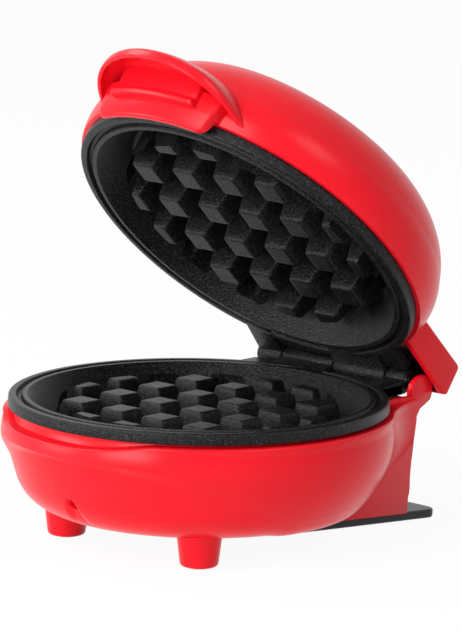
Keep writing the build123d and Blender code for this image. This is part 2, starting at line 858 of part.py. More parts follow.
# ---------------------------------------------------------------- feet pads and rear stand
with BuildPart() as foot_pads:
    with BuildSketch(base):
        with Locations((-foot_x, -foot_y), (foot_x, -foot_y)):
            Circle(foot_pad_r - seat_gap)
    extrude(amount=foot_pad_thickness)
save(foot_pads, "foot_pads")

with BuildPart() as rear_stand:
    with BuildSketch(stand):
        with Locations((0, -stand_length / 2)):
            RectangleRounded(2 * stand_half, stand_length, stand_corner_r)
    extrude(amount=stand_thickness)
    with BuildSketch(stand):
        with Locations(*stand_screw_spots):
            Circle(screw_head_r + seat_gap)
    extrude(amount=screw_head, mode=Mode.SUBTRACT)
    with BuildSketch(stand):
        with Locations(*stand_screw_spots):
            Circle(screw_r + pin_clearance)
    extrude(amount=stand_thickness, mode=Mode.SUBTRACT)
save(rear_stand, "rear_stand")


def screws(plane, spots, length):
    """Screws with low heads on a plane, their shanks along its z."""
    with BuildPart() as group:
        with BuildSketch(plane):
            with Locations(*spots):
                Circle(screw_head_r)
        extrude(amount=screw_head)
        with BuildSketch(plane.offset(screw_head)):
            with Locations(*spots):
                Circle(screw_r)
        extrude(amount=length)
    return group


stand_screws = screws(stand, stand_screw_spots, stand_thickness - screw_head + screw_bite)
save(stand_screws, "stand_screws")

with BuildPart() as cord_grommet:
    with BuildSketch(tower_back):
        Circle(inlet_flange_r)
    extrude(amount=inlet_flange)
    with BuildSketch(tower_back):
        Circle(inlet_r - pin_clearance)
    extrude(amount=-wall - inlet_flange)
    with BuildSketch(tower_back.offset(inlet_flange)):
        Circle(inlet_bore_r)
    extrude(amount=-wall - 2 * inlet_flange, mode=Mode.SUBTRACT)
save(cord_grommet, "cord_grommet")

with BuildPart() as terminal_block:
    block_width, block_depth, block_tall = block_terminal
    with BuildSketch(stand.offset(stand_thickness)):
        with Locations((0, terminal_y - stand_rear_y)):
            Rectangle(block_width, block_depth)
    extrude(amount=block_tall)
    with BuildSketch(stand.offset(stand_thickness + block_tall)):
        with Locations((0, terminal_y - stand_rear_y)):
            with GridLocations(terminal_pitch, terminal_pitch, 3, 1):
                Circle(screw_r)
    extrude(amount=-block_tall / 2, mode=Mode.SUBTRACT)
save(terminal_block, "terminal_block")


# ---------------------------------------------------------------- heating parts behind each plate
def heater(face):
    """Tubular heater: an open ring against the plate's back with two ends turned away from it."""
    ring_height = -plate_back - heater_r
    turn = radians(90 + heater_gap_half)
    ends = [(s * heater_ring_r * cos(turn), heater_ring_r * sin(turn)) for s in (-1, 1)]
    with BuildPart() as tube:
        with BuildSketch(across(face)) as bar:
            with Locations((heater_ring_r, ring_height)):
                Circle(heater_r)
        revolve(axis=centre_line(face), revolution_arc=360 - 2 * heater_gap_half)
    ring = tube.part.rotate(centre_line(face), 90 + heater_gap_half)
    with BuildPart() as element:
        add(ring)
        with BuildSketch(face.offset(ring_height)):
            with Locations(*ends):
                Circle(heater_r)
        extrude(amount=-heater_end_length)
        for x, y in ends:
            with Locations(face.offset(ring_height)):
                with Locations((x, y)):
                    Sphere(heater_r)
    return element


def reflector(face):
    """Shallow metal pan clamped against the plate's bosses, rim towards the plate."""
    floor_height = -plate_back - boss_height
    turn = radians(90 + heater_gap_half)
    ends = [(s * heater_ring_r * cos(turn), heater_ring_r * sin(turn)) for s in (-1, 1)]
    with BuildPart() as pan:
        with BuildSketch(face.offset(floor_height)):
            Circle(reflector_r)
        extrude(amount=-reflector_thickness)
        with BuildSketch(face.offset(floor_height)):
            Circle(reflector_r)
            Circle(reflector_r - reflector_thickness, mode=Mode.SUBTRACT)
        extrude(amount=reflector_rim)
        with BuildSketch(face.offset(floor_height)):
            with Locations(*boss_spots()):
                Circle(screw_r + pin_clearance)
            with Locations(*ends):
                Circle(heater_r + 2 * seat_gap)
            Circle(thermostat_r + 2 * seat_gap)
        extrude(amount=-reflector_thickness, mode=Mode.SUBTRACT)
    return pan


def thermostat(face):
    """Round snap-disc thermostat against the middle of the plate's back, with two tags."""
    tag_thickness, tag_width, tag_length = tag
    with BuildPart() as switch:
        with BuildSketch(face.offset(-plate_back)):
            Circle(thermostat_r)
        extrude(amount=-thermostat_height * 2 / 3)
        with BuildSketch(face.offset(-plate_back - thermostat_height * 2 / 3)):
            Circle(thermostat_neck_r)
        extrude(amount=-thermostat_height / 3)
        with BuildSketch(face.offset(-plate_back - thermostat_height)):
            with Locations((-thermostat_r / 2, 0), (thermostat_r / 2, 0)):
                Rectangle(tag_thickness, tag_width)
        extrude(amount=-tag_length)
    return switch


for side_name, face in (("lower", lower_face), ("upper", upper_face)):
    save(heater(face), f"{side_name}_heater")
    save(reflector(face), f"{side_name}_reflector")
    save(thermostat(face), f"{side_name}_thermostat")

with BuildPart() as thermal_fuse:
    with BuildSketch(across(lower_face, fuse_length / 2)):
        with Locations((-fuse_x, -plate_back - fuse_r)):
            Circle(fuse_r)
    extrude(amount=fuse_length)
save(thermal_fuse, "thermal_fuse")

lower_screw_head = base.offset(bowl_floor_z + seat_gap)
lower_screw_length = parting_z - plate_back - boss_height + screw_bite - bowl_floor_z - screw_head - seat_gap
save(screws(lower_screw_head, boss_spots(), lower_screw_length), "lower_plate_screws")
upper_back = upper_face.offset(-plate_back - boss_height - reflector_thickness - screw_head)
save(screws(upper_back, boss_spots(), reflector_thickness + screw_bite), "upper_plate_screws")

# ---------------------------------------------------------------- indicator lamps in the lid
lamp_spots = [(-lamp_x, -lamp_y), (lamp_x, -lamp_y)]
lens_top = cap_height(hypot(lamp_x, lamp_y)) + lens_proud
for name, spot in zip(("power_lens", "ready_lens"), lamp_spots):
    with BuildPart() as lens:
        with BuildSketch(lid.offset(lens_top - lens_length)):
            with Locations(spot):
                Circle(lens_r)
        extrude(amount=lens_length)
        fillet(lens.edges().sort_by(centre_line(lid))[-1], radius=lens_proud * 0.8)
    save(lens, name)

holder_bottom = lens_top - lens_length - holder_height
with BuildPart() as lamp_holder:
    with BuildSketch(lid.offset(holder_bottom)):
        with Locations((0, -lamp_y)):
            RectangleRounded(2 * holder_half, holder_depth, lamp_r / 2)
    extrude(amount=holder_height + wall)
    with BuildSketch(lid.offset(holder_bottom)):
        with Locations(*lamp_spots):
            Circle(lens_r + pin_clearance)
    extrude(amount=holder_height + wall, mode=Mode.SUBTRACT)
    with BuildSketch(across(lid)):
        add(dome_section(wall).line)
        make_face()
    revolve(axis=centre_line(lid), mode=Mode.INTERSECT)
save(lamp_holder, "lamp_holder")

with BuildPart() as indicator_lamps:
    with BuildSketch(lid.offset(lens_top - lens_length - seat_gap - lamp_length)):
        with Locations(*lamp_spots):
            Circle(lamp_r)
    extrude(amount=lamp_length)
save(indicator_lamps, "indicator_lamps")
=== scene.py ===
"""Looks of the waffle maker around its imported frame: its shells, plates, hinge and handle as smooth
meshes, each with the finish of the real material. Lengths are in millimetres until a mesh is placed."""

import json
from math import acos, atan2, cos, hypot, pi, radians, sin, sqrt, tan

import bmesh
import bpy
from mathutils import Matrix, Vector


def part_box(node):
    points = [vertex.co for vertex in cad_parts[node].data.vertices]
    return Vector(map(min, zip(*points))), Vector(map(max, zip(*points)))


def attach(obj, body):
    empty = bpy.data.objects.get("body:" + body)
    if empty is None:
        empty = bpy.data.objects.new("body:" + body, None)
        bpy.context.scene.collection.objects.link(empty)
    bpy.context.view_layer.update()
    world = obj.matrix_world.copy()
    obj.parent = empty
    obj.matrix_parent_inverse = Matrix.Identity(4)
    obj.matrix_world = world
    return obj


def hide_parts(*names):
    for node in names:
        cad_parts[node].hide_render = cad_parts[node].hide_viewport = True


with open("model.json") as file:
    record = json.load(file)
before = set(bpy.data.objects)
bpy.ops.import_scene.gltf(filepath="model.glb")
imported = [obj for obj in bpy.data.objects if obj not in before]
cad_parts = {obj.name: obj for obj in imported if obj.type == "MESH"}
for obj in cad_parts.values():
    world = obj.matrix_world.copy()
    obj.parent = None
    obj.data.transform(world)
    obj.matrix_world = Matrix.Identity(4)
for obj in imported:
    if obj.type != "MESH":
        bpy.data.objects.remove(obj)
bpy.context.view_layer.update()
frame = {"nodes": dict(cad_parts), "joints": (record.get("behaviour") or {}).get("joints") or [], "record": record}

MM = 0.001
MERGE = 0.0005              # points this close are one point, mm

# ---------------------------------------------------------------- places taken from the frame
joint = frame["joints"][0]
hinge = Vector(joint["pos_m"]) / MM
lower_plate_low, lower_plate_high = (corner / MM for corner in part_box("lower_plate"))
plate_r = (lower_plate_high.x - lower_plate_low.x) / 2
axis_y = lower_plate_low.y + plate_r
hinge_reach = hinge.y - axis_y
lid_gap = 0.8               # between the two rims when the lid is shut
rim_z = hinge.z - lid_gap / 2
lid_opening = radians(-joint["range_deg"][0])

# local frames: the base stands on the bowl's axis, a plate lies on its rim plane, and the lid's heights
# rise from the upper plate's rim plane as if it were shut
base_place = Matrix.Translation((0, axis_y * MM, 0)) @ Matrix.Scale(MM, 4)
lid_place = (
    Matrix.Translation(hinge * MM)
    @ Matrix.Rotation(-lid_opening, 4, "X")
    @ Matrix.Scale(MM, 4)
    @ Matrix.Translation((0, -hinge_reach, lid_gap / 2))
)
lower_plate_place = base_place @ Matrix.Translation((0, 0, rim_z))
upper_plate_place = lid_place @ Matrix.Rotation(pi, 4, "Y")

# ---------------------------------------------------------------- sizes of the forms
rim_face = 3.6              # height of a plate's outer face
knuckle_r = 3.5
ridge_out = plate_r - 2.7   # groove between the two ridges of the rim
ridge_in = ridge_out - 1.9
cavity_r = ridge_in - 1.6
cavity_depth = 11.0
cavity_floor_r = 46.5
plate_back = cavity_depth + 2.6
block_pitch = 17.3
block_base = 12.4
block_top = 9.0
block_height = 9.0
block_rows = 6
block_field_r = 51.0        # blocks whose middle lies outside are left out
block_cut_r = 45.4          # the rest are cut off here at the floor
block_cut_lean = 0.17       # and this much closer in for each millimetre up
knuckle_seams = (-21.2, 1.0, 23.2)
knuckle_outer = 31.5
seam = 0.3                  # half the slit between two knuckles
arm_top = -0.6              # web and arms, under the rim plane

bowl_top_r = 61.6
bowl_floor_z = 9.7
collar_r = 57.7
shoulder_z = 40.9
shoulder_edge = 0.9         # radius over the shoulder's edge
brow_top_z = 34.0           # where the band round the front stands out most
brow_arch_z = 33.7          # top of the arch that is the band's lower edge
keyhole_z = 18.6            # middle of the cord's hole in the front wall
keyhole_half = radians(8)   # the wall is cut only this far to each side of the front
tower_half = 36.0
tower_top_z = 40.4
tower_foot_y = 60.4
tower_head_y = 63.1
cheek_inner = 34.4          # the cheek covers the hinge's right end
foot_x = 28.6
foot_y = 29.3
stand_tilt = radians(4.5)
stand_front_y = 3.0
stand_rear_y = 76.5
stand_half = 35.5
stand_thickness = 2.9

dome_height = 39.6
shell_wall = 2.4            # moulded housings
hood_y = 51.0               # middle of the hood's outline
hood_half = 29.5
hood_reach = 27.6
hood_ball = (51.6, -26.0, 47.2)     # distance in front, height and radius of the ball that is its top
hood_ceiling_r = 45.2
hood_ceiling = 13.2
box_right = 38.6
box_left = 36.4
box_side_wall = 2.25


# ---------------------------------------------------------------- outlines and skins
def arc_through(start, middle, end, steps=12):
    """Points on the circle through three points, from the first to the last."""
    (ax, ay), (bx, by), (cx, cy) = start, middle, end
    spread = 2 * (ax * (by - cy) + bx * (cy - ay) + cx * (ay - by))
    a2, b2, c2 = ax * ax + ay * ay, bx * bx + by * by, cx * cx + cy * cy
    x = (a2 * (by - cy) + b2 * (cy - ay) + c2 * (ay - by)) / spread
    y = (a2 * (cx - bx) + b2 * (ax - cx) + c2 * (bx - ax)) / spread
    r = hypot(ax - x, ay - y)
    first, via, last = (atan2(q[1] - y, q[0] - x) for q in (start, middle, end))
    turn = (last - first) % (2 * pi)
    if (via - first) % (2 * pi) > turn:
        turn -= 2 * pi
    angles = [first + turn * i / steps for i in range(steps + 1)]
    return [(x + r * cos(a), y + r * sin(a)) for a in angles]


def rounded_path(corners, closed=False, steps=5):
    """Points along straight lines between corners (x, y, radius), each corner rounded by its radius."""
    path = []
    for i, (x, y, radius) in enumerate(corners):
        here = Vector((x, y))
        at_end = not closed and i in (0, len(corners) - 1)
        if radius == 0 or at_end:
            path.append(tuple(here))
            continue
        back = (Vector(corners[i - 1][:2]) - here).normalized()
        ahead = (Vector(corners[(i + 1) % len(corners)][:2]) - here).normalized()
        half = acos(max(-1.0, min(1.0, back.dot(ahead)))) / 2
        reach = radius / tan(half)
        centre = here + (back + ahead).normalized() * (radius / sin(half))
        start = here + back * reach - centre
        end = here + ahead * reach - centre
        first = atan2(start.y, start.x)
        turn = (atan2(end.y, end.x) - first + pi) % (2 * pi) - pi
        for step in range(steps + 1):
            a = first + turn * step / steps
            path.append((centre.x + radius * cos(a), centre.y + radius * sin(a)))
    return path


def drawn_in(corners, inset):
    """Corners (x, y, radius) of a closed outline with every side moved inwards by inset."""
    spots = [Vector(corner[:2]) for corner in corners]
    area = sum(a.x * b.y - b.x * a.y for a, b in zip(spots, spots[1:] + spots[:1]))
    side = 1 if area > 0 else -1
    moved = []
    for i, (spot, corner) in enumerate(zip(spots, corners)):
        back = (spot - spots[i - 1]).normalized()
        ahead = (spots[(i + 1) % len(spots)] - spot).normalized()
        inwards = Vector((-back.y - ahead.y, back.x + ahead.x)).normalized() * side
        slant = inwards.dot(Vector((-back.y, back.x)) * side)
        place = spot + inwards * (inset / slant)
        moved.append((place.x, place.y, max(corner[2] - inset, 0.05)))
    return moved


def bar(corners, low, high, edge, pieces=1):
    """(x, outline) stations of a bar along x whose two ends are rounded over by edge."""
    turns = [pi / 2 * i / 4 for i in range(5)]
    start = [(low + edge * (1 - cos(a)), edge * (1 - sin(a))) for a in turns]
    length = high - low - 2 * edge
    middle = [(low + edge + length * i / pieces, 0.0) for i in range(1, pieces)]
    end = [(low + high - x, inset) for x, inset in reversed(start)]
    return [(x, rounded_path(drawn_in(corners, inset), closed=True)) for x, inset in start + middle + end]


def filled_in(outline, longest, pieces):
    """Closed outline with each side over longest cut into equal pieces."""
    path = []
    for (x0, y0), (x1, y1) in zip(outline, outline[1:] + outline[:1]):
        count = pieces if hypot(x1 - x0, y1 - y0) > longest else 1
        path += [(x0 + (x1 - x0) * i / count, y0 + (y1 - y0) * i / count) for i in range(count)]
    return path


def value_at(points, x):
    """Height of a polyline of (x, height), sorted by x, at x."""
    if x <= points[0][0]:
        return points[0][1]
    for (x0, h0), (x1, h1) in zip(points, points[1:]):
        if x <= x1:
            return h0 + (h1 - h0) * (x - x0) / (x1 - x0)
    return points[-1][1]


def ease(low, high, x):
    """Smooth step from 0 at low to 1 at high."""
    t = max(0.0, min(1.0, (x - low) / (high - low)))
    return t * t * (3 - 2 * t)


def skin(rows, wrap=False):
    """Points and faces of a skin over closed rows that hold equally many points."""
    count = len(rows[0])
    points = [point for row in rows for point in row]
    faces = []
    for i in range(len(rows) if wrap else len(rows) - 1):
        near, far = i * count, (i + 1) % len(rows) * count
        for j in range(count):
            k = (j + 1) % count
            faces.append((near + j, near + k, far + k, far + j))
    return points, faces


def lathe(profile, around=192, wrap=False):
    """Skin of a profile of (radius, height) turned about the upright axis."""
    turns = [2 * pi * i / around for i in range(around)]
    return skin([[(r * cos(a), r * sin(a), z) for a in turns] for r, z in profile], wrap=wrap)


def loft(sections):
    """Solid over closed sections, with a flat cap at each end."""
    points, faces = skin(sections)
    count = len(sections[0])
    faces.append(tuple(range(count)))
    faces.append(tuple(range(len(points) - count, len(points))))
    return points, faces


def at_x(x, outline):
    """Section at x whose side outline is given as (y, z)."""
    return [(x, y, z) for y, z in outline]


def merged(*forms):
    """Several forms as one."""
    points, faces = [], []
    for form_points, form_faces in forms:
        shift = len(points)
        points += form_points
        faces += [tuple(i + shift for i in face) for face in form_faces]
    return points, faces


def clean_mesh(name, form, place):
    """Mesh of a form with its doubles merged and its faces outwards, put in its place."""
    mesh = bpy.data.meshes.new(name)
    mesh.from_pydata([tuple(p) for p in form[0]], [], form[1])
    work = bmesh.new()
    work.from_mesh(mesh)
    bmesh.ops.remove_doubles(work, verts=work.verts, dist=MERGE)
    bmesh.ops.dissolve_degenerate(work, edges=work.edges, dist=MERGE)
    bmesh.ops.recalc_face_normals(work, faces=work.faces)
    work.to_mesh(mesh)
    work.free()
    mesh.transform(place)
    mesh.shade_smooth()
    return mesh


def piece(name, mesh, body, slot, bevel=0.0, sharp=35, stands_for=()):
    """Object with a finish that rides on a body, its edges rounded by bevel millimetres."""
    mesh.materials.clear()
    mesh.materials.append(FINISHES[slot])
    mesh.set_sharp_from_angle(angle=radians(sharp))
    thing = bpy.data.objects.new(name, mesh)
    bpy.context.scene.collection.objects.link(thing)
    if bevel:
        rounding = thing.modifiers.new("rounded edges", "BEVEL")
        rounding.width = bevel * MM
        rounding.segments = 3
        rounding.limit_method = "ANGLE"
        rounding.angle_limit = radians(sharp)
        rounding.harden_normals = True
    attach(thing, body)
    if stands_for:
        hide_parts(*stands_for)
    return thing


def shaped(name, form, place, body, slot, **finish):
    """Piece made from the points and faces of a form."""
    return piece(name, clean_mesh(name, form, place), body, slot, **finish)


# ---------------------------------------------------------------- node trees
def add(tree, kind, inputs=None, **settings):
    """Adds a node with its settings; an input is given a value, or another node's output to link."""
    made = tree.nodes.new(kind)
    for name, value in settings.items():
        setattr(made, name, value)
    for name, value in (inputs or {}).items():
        if isinstance(value, bpy.types.NodeSocket):
            tree.links.new(value, made.inputs[name])
        else:
            made.inputs[name].default_value = value
    return made


def colour(code):
    """Linear colour of an sRGB hex code."""
    parts = [int(code[i : i + 2], 16) / 255 for i in (1, 3, 5)]
    return (*[c / 12.92 if c <= 0.04045 else ((c + 0.055) / 1.055) ** 2.4 for c in parts], 1.0)


def per_mm(size):
    """Texture scale whose features are about size millimetres wide."""
    return 1 / (size * MM)


def new_finish(name):
    """Empty material with its tree, principled shader and object coordinates."""
    material = bpy.data.materials.new(name)
    material.use_nodes = True
    tree = material.node_tree
    tree.nodes.clear()
    shader = add(tree, "ShaderNodeBsdfPrincipled")
    add(tree, "ShaderNodeOutputMaterial", {"Surface": shader.outputs["BSDF"]})
    place = add(tree, "ShaderNodeTexCoord").outputs["Object"]
    return material, tree, shader, place


def spread(tree, factor, *stops):
    """Colour ramp over a factor, with stops of (position, hex colour)."""
    ramp = add(tree, "ShaderNodeValToRGB", {"Fac": factor})
    while len(ramp.color_ramp.elements) < len(stops):
        ramp.color_ramp.elements.new(1.0)
    for element, (position, code) in zip(ramp.color_ramp.elements, stops):
        element.position = position
        element.color = colour(code)
    return ramp.outputs["Color"]


# ---------------------------------------------------------------- finishes
def glossy_abs():
    """ABS from a polished mould: deep even red under a clear gloss, with a faint slow waviness."""
    material, tree, shader, place = new_finish("glossy moulded ABS, red")
    drift = add(tree, "ShaderNodeTexNoise", {"Vector": place, "Scale": per_mm(30), "Detail": 2.0})
    tint = spread(tree, drift.outputs["Fac"], (0.3, "#DF1020"), (0.7, "#E51424"))
    wave = add(tree, "ShaderNodeTexNoise", {"Vector": place, "Scale": per_mm(4), "Detail": 1.0})
    lift = {"Height": wave.outputs["Fac"], "Distance": 0.02 * MM, "Strength": 0.12}
    bump = add(tree, "ShaderNodeBump", lift)
    rub = add(tree, "ShaderNodeMapRange", {"Value": drift.outputs["Fac"], "To Min": 0.24, "To Max": 0.32})
    tree.links.new(tint, shader.inputs["Base Color"])
    tree.links.new(bump.outputs["Normal"], shader.inputs["Normal"])
    tree.links.new(rub.outputs["Result"], shader.inputs["Roughness"])
    shader.inputs["IOR"].default_value = 1.53
    shader.inputs["Specular IOR Level"].default_value = 0.17
    return material


def sprayed_nonstick():
    """Non-stick coating sprayed on cast aluminium: charcoal with fine light flecks and a grainy sheen.
    Grain and flecks are drawn no finer than 0.6 mm, so that they show."""
    material, tree, shader, place = new_finish("sprayed non-stick coating, charcoal")
    grain = add(tree, "ShaderNodeTexNoise", {"Vector": place, "Scale": per_mm(0.6), "Detail": 3.0})
    flecks = add(tree, "ShaderNodeTexVoronoi", {"Vector": place, "Scale": per_mm(0.65)})
    grey = spread(tree, grain.outputs["Fac"], (0.38, "#0A0A0B"), (0.56, "#161718"), (0.72, "#3C3E40"))
    pale = spread(tree, flecks.outputs["Distance"], (0.10, "#4C4E50"), (0.27, "#000000"))
    both = add(tree, "ShaderNodeMix", {0: 0.6}, data_type="RGBA", blend_type="LIGHTEN")
    tree.links.new(grey, both.inputs[6])
    tree.links.new(pale, both.inputs[7])
    lift = {"Height": grain.outputs["Fac"], "Distance": 0.35 * MM, "Strength": 0.8}
    bump = add(tree, "ShaderNodeBump", lift)
    tree.links.new(both.outputs[2], shader.inputs["Base Color"])
    tree.links.new(bump.outputs["Normal"], shader.inputs["Normal"])
    shader.inputs["Roughness"].default_value = 0.31
    shader.inputs["IOR"].default_value = 1.45
    shader.inputs["Specular IOR Level"].default_value = 0.17
    return material


def plain_finish(
    name, code, roughness, metallic=0.0, grain_mm=1.0, lift_mm=0.02, ior=1.5, clear=0.0, level=0.5
):
    """Even moulded, turned or plated surface with a fine grain in its colour, gloss and relief."""
    material, tree, shader, place = new_finish(name)
    grain = add(tree, "ShaderNodeTexNoise", {"Vector": place, "Scale": per_mm(grain_mm), "Detail": 3.0})
    shade = add(tree, "ShaderNodeMix", {0: grain.outputs["Fac"]}, data_type="RGBA")
    base = colour(code)
    shade.inputs[6].default_value = [c * 0.86 for c in base[:3]] + [1.0]
    shade.inputs[7].default_value = [min(1.0, c * 1.14) for c in base[:3]] + [1.0]
    range_inputs = {"Value": grain.outputs["Fac"], "To Min": roughness * 0.85, "To Max": roughness * 1.15}
    gloss = add(tree, "ShaderNodeMapRange", range_inputs)
    bump = add(tree, "ShaderNodeBump", {"Height": grain.outputs["Fac"], "Distance": lift_mm * MM})
    tree.links.new(shade.outputs[2], shader.inputs["Base Color"])
    tree.links.new(gloss.outputs["Result"], shader.inputs["Roughness"])
    tree.links.new(bump.outputs["Normal"], shader.inputs["Normal"])
    shader.inputs["Metallic"].default_value = metallic
    if not metallic:
        shader.inputs["IOR"].default_value = ior
    shader.inputs["Transmission Weight"].default_value = clear
    shader.inputs["Specular IOR Level"].default_value = level
    return material


FINISHES = {
    "red_abs": glossy_abs(),
    "nonstick_aluminium": sprayed_nonstick(),
    # satin black polypropylene, moulded with a fine spark-eroded grain
    "black_plastic": plain_finish(
        "satin moulded polypropylene, black", "#1B1A20", 0.36, grain_mm=0.8, level=0.2
    ),
    # dull soft rubber that scatters light
    "rubber": plain_finish("moulded rubber, black", "#1A1A1A", 0.8, grain_mm=0.6),
    # bright zinc plating, slightly cloudy
    "steel": plain_finish("zinc-plated steel", "#C4C6C8", 0.32, metallic=1.0, grain_mm=0.5),
    # oiled black oxide on a turned pin
    "black_steel": plain_finish("black-oxide steel", "#1C1C1E", 0.35, metallic=0.6, grain_mm=0.5),
    # aluminised sheet, satin
    "plated_steel": plain_finish("aluminised sheet steel", "#CBCCCD", 0.4, metallic=1.0, grain_mm=1.5),
    # heater sheath, darkened by heat
    "heater_sheath": plain_finish("oxidised steel sheath", "#5E574F", 0.5, metallic=1.0, grain_mm=2.0),
    # hard thermoset of the terminal block, moulded, dull brown-black
    "phenolic": plain_finish("moulded phenolic, brown-black", "#2E2420", 0.5, grain_mm=0.7),
    # uncoloured nylon of the lamp holder, moulded, milky and slightly warm
    "white_nylon": plain_finish("moulded nylon, natural", "#E6E3DA", 0.45, grain_mm=1.2),
    # clear tinted acrylic over the indicator lamps
    "red_lens": plain_finish("clear acrylic, red", "#D0202A", 0.12, lift_mm=0.002, ior=1.49, clear=0.5),
    "green_lens": plain_finish("clear acrylic, green", "#2AA84A", 0.12, lift_mm=0.002, ior=1.49, clear=0.5),
    # drawn glass of the indicator lamps, clear and smooth
    "lamp_glass": plain_finish("lamp glass", "#F2F2EE", 0.08, lift_mm=0.002, ior=1.5, clear=0.8),
}


def dress_cad_nodes():
    """Gives every CAD node that stays the finish of its slot."""
    for part in frame["record"]["subparts"]:
        node = frame["nodes"][part["node"]]
        for material_slot in node.material_slots:
            material_slot.material = FINISHES[part["material_slot"]]


# ---------------------------------------------------------------- cast plates
def plate_disc():
    """Rim with its two ridges, sloping cavity wall, floor and back of a plate."""
    edge = 0.3
    corners = [
        (0, -cavity_depth, 0),
        (cavity_floor_r, -cavity_depth, 1.6),
        (cavity_r, -0.05, edge),
        (ridge_in - 0.1, -0.05, edge),
        (ridge_in + 0.35, -1.5, 0.3),
        (ridge_out - 0.35, -1.5, 0.3),
        (ridge_out + 0.1, 0, edge),
        (plate_r - 0.25, 0, 0.8),
        (plate_r, -rim_face, 0.4),
        (ridge_in, -rim_face, 0.4),
        (cavity_floor_r, -plate_back, 1.5),
        (0, -plate_back, 0),
    ]
    return lathe(rounded_path(corners))


def block_mesh():
    """One waffle block, a tapered square with softly cast edges, standing on z = 0."""
    levels = [(-0.3, 0), (2.2, 0), (4.5, 0), (6.6, 0), (8.1, 0), (8.55, 0.12), (8.85, 0.35), (9.0, 0.75)]
    rows = []
    for height, inset in levels:
        half = (block_base - (block_base - block_top) * height / block_height) / 2 - inset
        corner = max(1.0 - inset, 0.3)
        square = [(s * half, t * half, corner) for s, t in ((1, 1), (-1, 1), (-1, -1), (1, -1))]
        ring = filled_in(rounded_path(square, closed=True, steps=4), 2, 5)
        rows.append([(x, y, height) for x, y in ring])
    rim = rows[-1]
    for share in (0.8, 0.55, 0.28, 0.0):
        rows.append([(x * share, y * share, block_height) for x, y, _ in rim])
    points, faces = skin(rows)
    faces.append(tuple(range(len(rows[0]))))
    return clean_mesh("waffle_block", (points, faces), Matrix.Identity(4))


def block_field_tree():
    """Geometry nodes: blocks on a square grid, those at the edge of the field cut off at a circle."""
    tree = bpy.data.node_groups.new("waffle block field", "GeometryNodeTree")
    tree.interface.new_socket("Geometry", in_out="INPUT", socket_type="NodeSocketGeometry")
    for name, kind, value in (
        ("Pitch", "NodeSocketFloat", block_pitch),
        ("Rows", "NodeSocketInt", block_rows),
        ("Field Radius", "NodeSocketFloat", block_field_r),
        ("Cut Radius", "NodeSocketFloat", block_cut_r),
        ("Cut Lean", "NodeSocketFloat", block_cut_lean),
        ("Block", "NodeSocketObject", None),
        ("Finish", "NodeSocketMaterial", None),
    ):
        made = tree.interface.new_socket(name, in_out="INPUT", socket_type=kind)
        if value is not None:
            made.default_value = value
    tree.interface.new_socket("Geometry", in_out="OUTPUT", socket_type="NodeSocketGeometry")
    given = add(tree, "NodeGroupInput").outputs
    steps = add(tree, "ShaderNodeMath", {0: given["Rows"], 1: 1.0}, operation="SUBTRACT")
    side = add(tree, "ShaderNodeMath", {0: steps.outputs[0], 1: given["Pitch"]}, operation="MULTIPLY")
    grid = add(tree, "GeometryNodeMeshGrid", {
        "Size X": side.outputs[0], "Size Y": side.outputs[0],
        "Vertices X": given["Rows"], "Vertices Y": given["Rows"],
    })
    place = add(tree, "GeometryNodeInputPosition").outputs[0]
    reach = add(tree, "ShaderNodeVectorMath", {0: place}, operation="LENGTH")
    outside = add(tree, "FunctionNodeCompare", {0: reach.outputs["Value"], 1: given["Field Radius"]},
                  data_type="FLOAT", operation="GREATER_THAN")
    kept = add(tree, "GeometryNodeDeleteGeometry",
               {"Geometry": grid.outputs["Mesh"], "Selection": outside.outputs[0]}, domain="POINT")
    block = add(tree, "GeometryNodeObjectInfo", {"Object": given["Block"]})
    copies = add(tree, "GeometryNodeInstanceOnPoints",
                 {"Points": kept.outputs[0], "Instance": block.outputs["Geometry"]})
    real = add(tree, "GeometryNodeRealizeInstances", {"Geometry": copies.outputs[0]})
    # draw the points beyond the cut back to the circle, which leans in towards the block tops
    part = add(tree, "ShaderNodeSeparateXYZ", {0: place}).outputs
    flat = add(tree, "ShaderNodeCombineXYZ", {"X": part["X"], "Y": part["Y"]}).outputs[0]
    radius = add(tree, "ShaderNodeVectorMath", {0: flat}, operation="LENGTH").outputs["Value"]
    lean = add(tree, "ShaderNodeMath", {0: part["Z"], 1: given["Cut Lean"]}, operation="MULTIPLY")
    limit = add(tree, "ShaderNodeMath", {0: given["Cut Radius"], 1: lean.outputs[0]}, operation="SUBTRACT")
    share = add(tree, "ShaderNodeMath", {0: limit.outputs[0], 1: radius}, operation="DIVIDE")
    held = add(tree, "ShaderNodeMath", {0: share.outputs[0], 1: 1.0}, operation="MINIMUM")
    drawn = add(tree, "ShaderNodeVectorMath", {0: flat, "Scale": held.outputs[0]}, operation="SCALE")
    lifted = add(tree, "ShaderNodeCombineXYZ", {"Z": part["Z"]})
    target = add(tree, "ShaderNodeVectorMath", {0: drawn.outputs[0], 1: lifted.outputs[0]}, operation="ADD")
    cut = add(tree, "GeometryNodeSetPosition", {"Geometry": real.outputs[0], "Position": target.outputs[0]})
    finish = add(tree, "GeometryNodeSetMaterial", {"Geometry": cut.outputs[0], "Material": given["Finish"]})
    add(tree, "NodeGroupOutput", {0: finish.outputs[0]})
    return tree


def grown(name, tree, place, **values):
    """Plain mesh from a geometry nodes tree with its named inputs set."""
    host = bpy.data.objects.new(name, bpy.data.meshes.new(name))
    bpy.context.scene.collection.objects.link(host)
    growth = host.modifiers.new("growth", "NODES")
    growth.node_group = tree
    for item in tree.interface.items_tree:
        if item.item_type == "SOCKET" and item.in_out == "INPUT" and item.name in values:
            growth[item.identifier] = values[item.name]
    shape = host.evaluated_get(bpy.context.evaluated_depsgraph_get())
    mesh = bpy.data.meshes.new_from_object(shape)
    host.modifiers.remove(growth)
    bpy.data.objects.remove(host)
    mesh.transform(place)
    mesh.shade_smooth()
    return mesh


def rim_arc(x):
    """Where the web and the arms of the hinge start, on the rim's arc."""
    return sqrt((ridge_out + 1.3) ** 2 - x * x)


